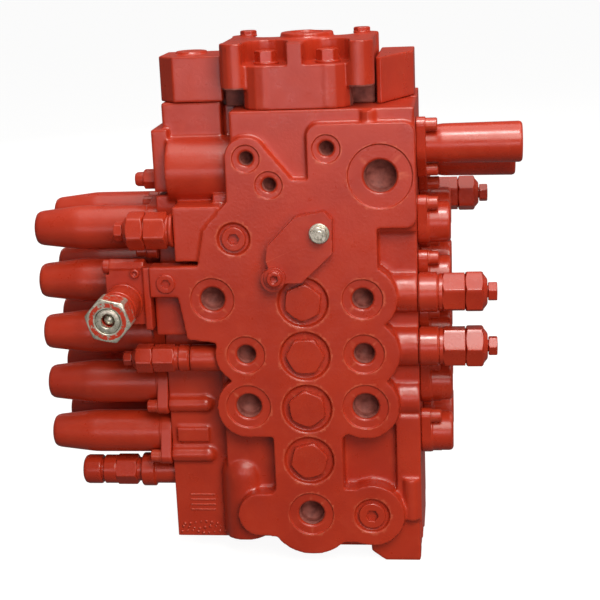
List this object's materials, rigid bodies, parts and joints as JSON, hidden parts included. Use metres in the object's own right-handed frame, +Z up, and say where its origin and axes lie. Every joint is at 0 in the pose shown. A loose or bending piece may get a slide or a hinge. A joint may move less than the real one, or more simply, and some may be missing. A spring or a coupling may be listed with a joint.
{
  "type": "hydraulic control valve",
  "caption": "Excavator main control valve: cast blocks bolted face to face, with sliding spools, long spring caps, pilot caps, relief valves and threaded ports.",
  "frame": {"origin": "on the flat underside of the front casting, below the column of hex plugs and under the axes of the front spools", "axes": "+X along the spools from the long spring caps to the pilot caps, +Y from the front port face to the rear, +Z up"},
  "size_m": [0.562, 0.282, 0.612],
  "materials": {
    "cast_paint": "semi-gloss red-orange enamel over sand-cast iron",
    "fitting_paint": "the same enamel over machined steel",
    "zinc_steel": "zinc-plated steel with worn paint on it",
    "ground_steel": "ground and polished hardened steel"
  },
  "bodies": {
    "housing": {"front_body": "cast_paint", "rear_body": "cast_paint", "top_port_block": "cast_paint", "upper_left_block": "cast_paint", "upper_right_block": "cast_paint", "adapter_block": "cast_paint", "spring_cap_front_1": "cast_paint", "pilot_cap_front_1": "cast_paint", "spring_cap_front_2": "cast_paint", "pilot_cap_front_2": "cast_paint", "spring_cap_front_3": "cast_paint", "pilot_cap_front_3": "cast_paint", "spring_cap_front_4": "cast_paint", "pilot_cap_front_4": "cast_paint", "spring_cap_front_5": "cast_paint", "pilot_cap_front_5": "cast_paint", "spring_cap_rear_1": "cast_paint", "pilot_cap_rear_1": "cast_paint", "spring_cap_rear_2": "cast_paint", "pilot_cap_rear_2": "cast_paint", "spring_cap_rear_3": "cast_paint", "pilot_cap_rear_3": "cast_paint", "spring_cap_rear_4": "cast_paint", "pilot_cap_rear_4": "cast_paint", "spring_cap_rear_5": "cast_paint", "pilot_cap_rear_5": "cast_paint", "check_plug_1": "fitting_paint", "check_plug_2": "fitting_paint", "check_plug_3": "fitting_paint", "check_plug_4": "fitting_paint", "relief_valve_right_upper": "fitting_paint", "relief_valve_right_lower": "fitting_paint", "relief_valve_right_rear": "fitting_paint", "relief_valve_left_upper": "fitting_paint", "relief_valve_left_lower": "fitting_paint", "long_cap_front": "cast_paint", "long_cap_rear": "cast_paint", "adapter_fitting": "zinc_steel", "drain_fitting": "fitting_paint", "cover_plate": "cast_paint", "cover_bolt": "zinc_steel"},
    "spool_front_1": {"spool_front_1": "ground_steel"},
    "spool_front_2": {"spool_front_2": "ground_steel"},
    "spool_front_3": {"spool_front_3": "ground_steel"},
    "spool_front_4": {"spool_front_4": "ground_steel"},
    "spool_front_5": {"spool_front_5": "ground_steel"},
    "spool_rear_1": {"spool_rear_1": "ground_steel"},
    "spool_rear_2": {"spool_rear_2": "ground_steel"},
    "spool_rear_3": {"spool_rear_3": "ground_steel"},
    "spool_rear_4": {"spool_rear_4": "ground_steel"},
    "spool_rear_5": {"spool_rear_5": "ground_steel"},
    "check_poppet_1": {"check_poppet_1": "ground_steel"},
    "check_poppet_2": {"check_poppet_2": "ground_steel"},
    "check_poppet_3": {"check_poppet_3": "ground_steel"},
    "check_poppet_4": {"check_poppet_4": "ground_steel"},
    "relief_screw_right_upper": {"relief_screw_right_upper": "fitting_paint"},
    "relief_screw_right_lower": {"relief_screw_right_lower": "fitting_paint"},
    "relief_screw_right_rear": {"relief_screw_right_rear": "fitting_paint"},
    "relief_screw_left_upper": {"relief_screw_left_upper": "fitting_paint"},
    "relief_screw_left_lower": {"relief_screw_left_lower": "fitting_paint"}
  },
  "joints": [
    {"name": "spool_front_1_slide", "type": "slide", "parent": "housing", "child": "spool_front_1", "axis": [1, 0, 0], "range_m": [-0.009, 0.009], "stiffness_N_per_m": 6000},
    {"name": "spool_front_2_slide", "type": "slide", "parent": "housing", "child": "spool_front_2", "axis": [1, 0, 0], "range_m": [-0.009, 0.009], "stiffness_N_per_m": 6000},
    {"name": "spool_front_3_slide", "type": "slide", "parent": "housing", "child": "spool_front_3", "axis": [1, 0, 0], "range_m": [-0.009, 0.009], "stiffness_N_per_m": 6000},
    {"name": "spool_front_4_slide", "type": "slide", "parent": "housing", "child": "spool_front_4", "axis": [1, 0, 0], "range_m": [-0.009, 0.009], "stiffness_N_per_m": 6000},
    {"name": "spool_front_5_slide", "type": "slide", "parent": "housing", "child": "spool_front_5", "axis": [1, 0, 0], "range_m": [-0.009, 0.009], "stiffness_N_per_m": 6000},
    {"name": "spool_rear_1_slide", "type": "slide", "parent": "housing", "child": "spool_rear_1", "axis": [1, 0, 0], "range_m": [-0.009, 0.009], "stiffness_N_per_m": 6000},
    {"name": "spool_rear_2_slide", "type": "slide", "parent": "housing", "child": "spool_rear_2", "axis": [1, 0, 0], "range_m": [-0.009, 0.009], "stiffness_N_per_m": 6000},
    {"name": "spool_rear_3_slide", "type": "slide", "parent": "housing", "child": "spool_rear_3", "axis": [1, 0, 0], "range_m": [-0.009, 0.009], "stiffness_N_per_m": 6000},
    {"name": "spool_rear_4_slide", "type": "slide", "parent": "housing", "child": "spool_rear_4", "axis": [1, 0, 0], "range_m": [-0.009, 0.009], "stiffness_N_per_m": 6000},
    {"name": "spool_rear_5_slide", "type": "slide", "parent": "housing", "child": "spool_rear_5", "axis": [1, 0, 0], "range_m": [-0.009, 0.009], "stiffness_N_per_m": 6000},
    {"name": "check_poppet_1_lift", "type": "slide", "parent": "housing", "child": "check_poppet_1", "axis": [0, -1, 0], "range_m": [0, 0.006], "stiffness_N_per_m": 1500, "springref_m": -0.004},
    {"name": "check_poppet_2_lift", "type": "slide", "parent": "housing", "child": "check_poppet_2", "axis": [0, -1, 0], "range_m": [0, 0.006], "stiffness_N_per_m": 1500, "springref_m": -0.004},
    {"name": "check_poppet_3_lift", "type": "slide", "parent": "housing", "child": "check_poppet_3", "axis": [0, -1, 0], "range_m": [0, 0.006], "stiffness_N_per_m": 1500, "springref_m": -0.004},
    {"name": "check_poppet_4_lift", "type": "slide", "parent": "housing", "child": "check_poppet_4", "axis": [0, -1, 0], "range_m": [0, 0.006], "stiffness_N_per_m": 1500, "springref_m": -0.004},
    {"name": "relief_screw_right_upper_turn", "type": "hinge", "parent": "housing", "child": "relief_screw_right_upper", "pos_m": [0.21, -0.042, 0.3245], "axis": [1, 0, 0], "range_deg": [-360, 360]},
    {"name": "relief_screw_right_lower_turn", "type": "hinge", "parent": "housing", "child": "relief_screw_right_lower", "pos_m": [0.21, -0.042, 0.2612], "axis": [1, 0, 0], "range_deg": [-360, 360]},
    {"name": "relief_screw_right_rear_turn", "type": "hinge", "parent": "housing", "child": "relief_screw_right_rear", "pos_m": [0.203, 0.126, 0.4045], "axis": [1, 0, 0], "range_deg": [-360, 360]},
    {"name": "relief_screw_left_upper_turn", "type": "hinge", "parent": "housing", "child": "relief_screw_left_upper", "pos_m": [-0.2055, -0.051, 0.402], "axis": [1, 0, 0], "range_deg": [-360, 360]},
    {"name": "relief_screw_left_lower_turn", "type": "hinge", "parent": "housing", "child": "relief_screw_left_lower", "pos_m": [-0.208, -0.042, 0.249], "axis": [1, 0, 0], "range_deg": [-360, 360]}
  ]
}
